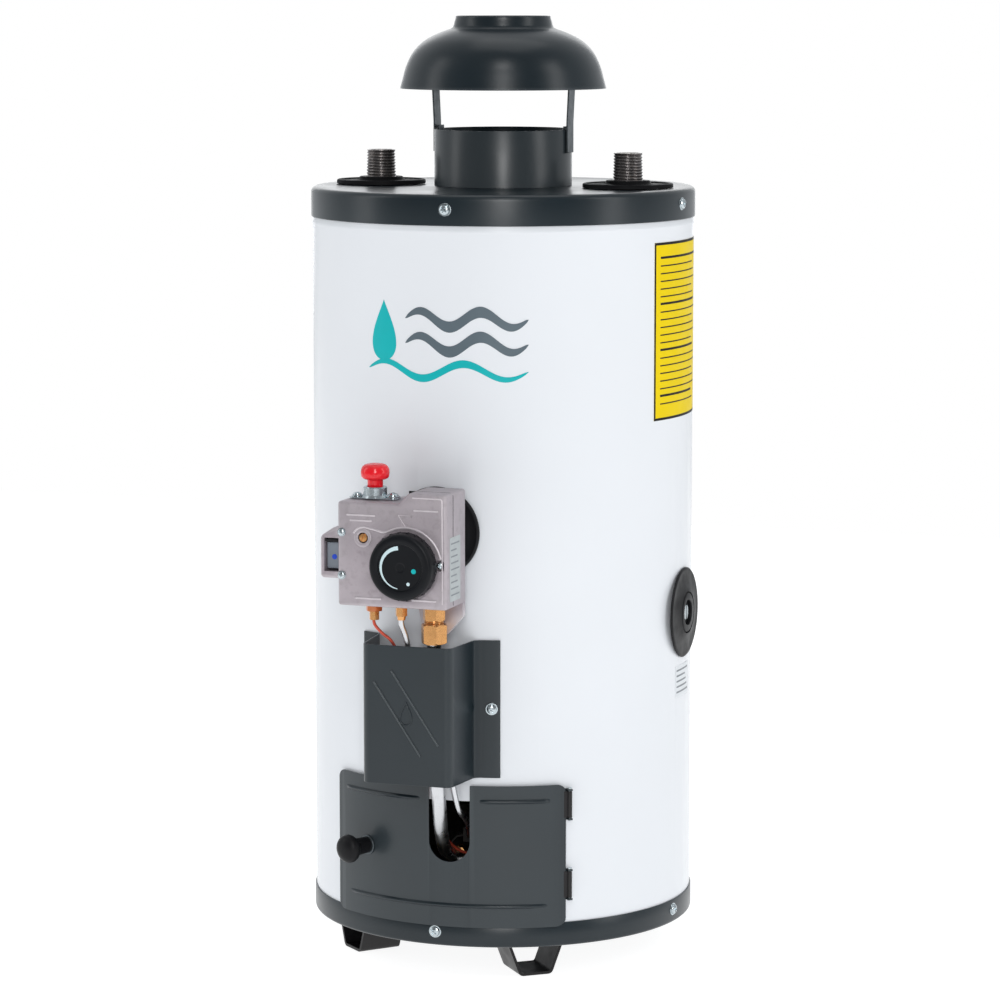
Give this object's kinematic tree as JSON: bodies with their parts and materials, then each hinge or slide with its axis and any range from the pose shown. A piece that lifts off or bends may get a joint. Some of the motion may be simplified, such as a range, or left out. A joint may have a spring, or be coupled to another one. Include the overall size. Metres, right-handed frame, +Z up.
{
  "type": "tank water heater",
  "caption": "Small free-standing gas storage water heater: round enamelled jacket on strap feet, gas valve with dial, burner cover, hinged access door, flue collar and draught hood.",
  "frame": {"origin": "on the floor, under the centre of the bounding box", "axes": "+Z up along the tank; -Y is the front with the gas valve and door; +X is the drain side"},
  "size_m": [0.3442, 0.4226, 0.824],
  "materials": {
    "white_enamel": "gloss",
    "grey_enamel": "gloss",
    "black_plastic": "satin",
    "red_plastic": "gloss",
    "grey_plastic": "matte",
    "natural_plastic": "matte",
    "cast_aluminium": "cast",
    "aluminium": "satin",
    "zinc": "zinc plated",
    "steel": "mill finish",
    "brass": "machined",
    "copper": "drawn copper",
    "magnesium": "cast",
    "foam": "foam"
  },
  "bodies": {
    "heater": {"jacket": "white_enamel", "base_pan": "grey_enamel", "top_cover": "grey_enamel", "flue_collar": "grey_enamel", "burner_cover": "grey_enamel", "hinge_bracket_upper": "grey_enamel", "hinge_bracket_lower": "grey_enamel", "foot_1": "black_plastic", "foot_2": "black_plastic", "foot_3": "black_plastic", "foot_4": "black_plastic", "cold_escutcheon": "black_plastic", "hot_escutcheon": "black_plastic", "valve_escutcheon": "black_plastic", "drain_escutcheon": "black_plastic", "drain_valve": "black_plastic", "button_bracket": "zinc", "cover_screw_left": "zinc", "cover_screw_right": "zinc", "hinge_pin_upper": "zinc", "hinge_pin_lower": "zinc", "tank": "steel", "flue_tube": "steel", "flue_baffle": "steel", "combustion_chamber": "steel", "heat_shield": "steel", "cold_nipple": "steel", "hot_nipple": "steel", "thermostat_shank": "steel", "button_spring": "steel", "main_burner": "steel", "burner_venturi": "steel", "pilot_burner": "steel", "thermocouple_tip": "steel", "burner_bracket": "steel", "tank_insulation": "foam", "chamber_insulation": "foam", "dip_tube": "natural_plastic", "anode_rod": "magnesium", "thermostat_probe": "copper", "thermocouple_nut": "copper", "thermocouple_lead": "copper", "gas_valve_body": "cast_aluminium", "inlet_flange": "cast_aluminium", "inlet_plug": "grey_plastic", "gas_nut": "brass", "pilot_nut": "brass", "pilot_adjust_screw": "brass", "main_orifice": "brass", "gas_tube": "aluminium", "pilot_tube": "aluminium"},
    "hood": {"hood_bell": "grey_enamel", "hood_strap_left": "zinc", "hood_strap_right": "zinc"},
    "door": {"access_door": "grey_enamel", "knob_collar": "zinc", "door_knob": "black_plastic"},
    "dial": {"temperature_dial": "black_plastic"},
    "button": {"pilot_button": "red_plastic"},
    "drain_turn": {"drain_stem": "zinc"}
  },
  "joints": [
    {"name": "hood_lift", "type": "slide", "parent": "heater", "child": "hood", "axis": [0, 0, 1], "range_m": [0, 0.06]},
    {"name": "door_hinge", "type": "hinge", "parent": "heater", "child": "door", "pos_m": [0.10747, -0.09355, 0.1205], "axis": [0, 0, 1], "range_deg": [0, 110]},
    {"name": "dial_turn", "type": "hinge", "parent": "heater", "child": "dial", "pos_m": [-0.0027, -0.21135, 0.3713], "axis": [0, -1, 0], "range_deg": [-30, 270]},
    {"name": "button_press", "type": "slide", "parent": "heater", "child": "button", "axis": [0, 0, -1], "range_m": [0, 0.004], "stiffness_N_per_m": 600, "springref_m": -0.002, "deforming": ["button_spring"]},
    {"name": "drain_stem_turn", "type": "hinge", "parent": "heater", "child": "drain_turn", "pos_m": [0.1721, 0.03965, 0.305], "axis": [1, 0, 0], "range_deg": [0, 90]}
  ]
}
